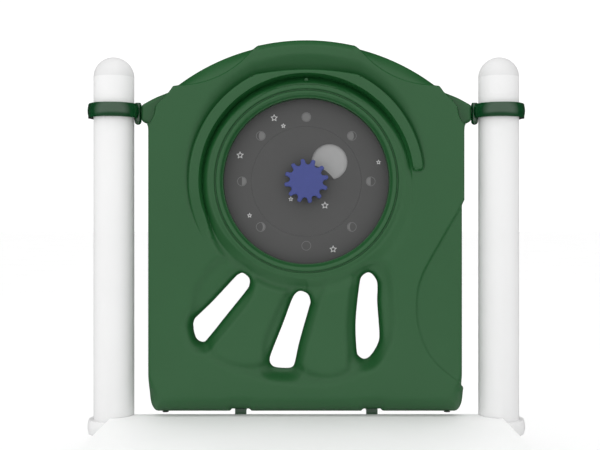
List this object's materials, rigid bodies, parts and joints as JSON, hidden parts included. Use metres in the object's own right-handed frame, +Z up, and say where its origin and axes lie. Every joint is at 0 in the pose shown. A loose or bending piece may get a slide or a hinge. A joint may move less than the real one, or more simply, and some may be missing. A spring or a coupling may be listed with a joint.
{
  "type": "playground moon-phase play panel bay",
  "caption": "Square playground deck between posts, with a hollow moulded play panel hung on post clamps; the panel has reach-through slots and a dial turned by a toothed knob.",
  "frame": {"origin": "on the ground at the centre of the square bay", "axes": "+Z up, +Y from the open front edge of the deck towards the panel, +X to the right when facing the panel"},
  "size_m": [1.397, 1.397, 1.3839],
  "materials": {
    "white_coated_steel": "smooth white powder coat",
    "white_cast_cap": "smooth white powder coat on cast aluminium",
    "white_deck_board": "fine matt",
    "green_polyethylene": "rotomoulded, softly textured",
    "green_coated_casting": "glossy dark green powder coat on cast aluminium",
    "charcoal_sheet": "fine matt sheet",
    "moon_grey_sheet": "fine matt sheet",
    "shadow_grey_inlay": "fine matt",
    "blue_polyethylene": "moulded, satin",
    "pale_grey_inlay": "fine matt",
    "plain_steel": "zinc plated",
    "nylon": "turned nylon",
    "black_rubber": "moulded rubber"
  },
  "bodies": {
    "bay": {"post_left": "white_coated_steel", "post_right": "white_coated_steel", "front_post_left": "white_coated_steel", "front_post_right": "white_coated_steel", "base_plate_rear_left": "white_coated_steel", "base_plate_rear_right": "white_coated_steel", "base_plate_front_left": "white_coated_steel", "base_plate_front_right": "white_coated_steel", "deck_rim_front": "white_coated_steel", "deck_rim_back": "white_coated_steel", "deck_rim_left": "white_coated_steel", "deck_rim_right": "white_coated_steel", "deck_joist_left": "white_coated_steel", "deck_joist_right": "white_coated_steel", "deck_collar_rear_left": "white_coated_steel", "deck_collar_rear_right": "white_coated_steel", "deck_collar_front_left": "white_coated_steel", "deck_collar_front_right": "white_coated_steel", "post_cap_left": "white_cast_cap", "post_cap_right": "white_cast_cap", "front_post_cap_left": "white_cast_cap", "front_post_cap_right": "white_cast_cap", "deck_plate": "white_deck_board", "panel_shell": "green_polyethylene", "clamp_front_left": "green_coated_casting", "clamp_front_right": "green_coated_casting", "clamp_rear_left": "green_coated_casting", "clamp_rear_right": "green_coated_casting", "hanger_left": "green_coated_casting", "hanger_right": "green_coated_casting", "panel_foot_left": "green_coated_casting", "panel_foot_right": "green_coated_casting", "dome_nuts": "green_coated_casting", "pivot_bolts": "green_coated_casting", "clamp_lap_pins": "green_coated_casting", "dial_face_plate": "charcoal_sheet", "dial_back_board": "charcoal_sheet", "moon_plate": "moon_grey_sheet", "moon_shadow_inlay": "shadow_grey_inlay", "dial_markings": "pale_grey_inlay", "collar_bolts": "plain_steel", "collar_set_screws": "plain_steel", "cap_rivets": "plain_steel", "hanger_screws": "plain_steel", "foot_bolts": "plain_steel", "foot_screws": "plain_steel", "dial_bolts": "plain_steel", "dial_bolt_nuts": "plain_steel", "axle_bushing": "nylon", "drain_plugs": "black_rubber"},
    "dial_rotor": {"knob": "blue_polyethylene", "knob_spacer": "green_polyethylene", "rotor_disc": "charcoal_sheet", "rotor_stars": "pale_grey_inlay", "axle_stud": "plain_steel", "axle_washer": "plain_steel", "axle_nut": "plain_steel", "drive_screws": "plain_steel"}
  },
  "joints": [
    {"name": "knob_spin", "type": "hinge", "parent": "bay", "child": "dial_rotor", "pos_m": [0, 0.6096, 0.9412], "axis": [0, 1, 0], "continuous": true}
  ]
}
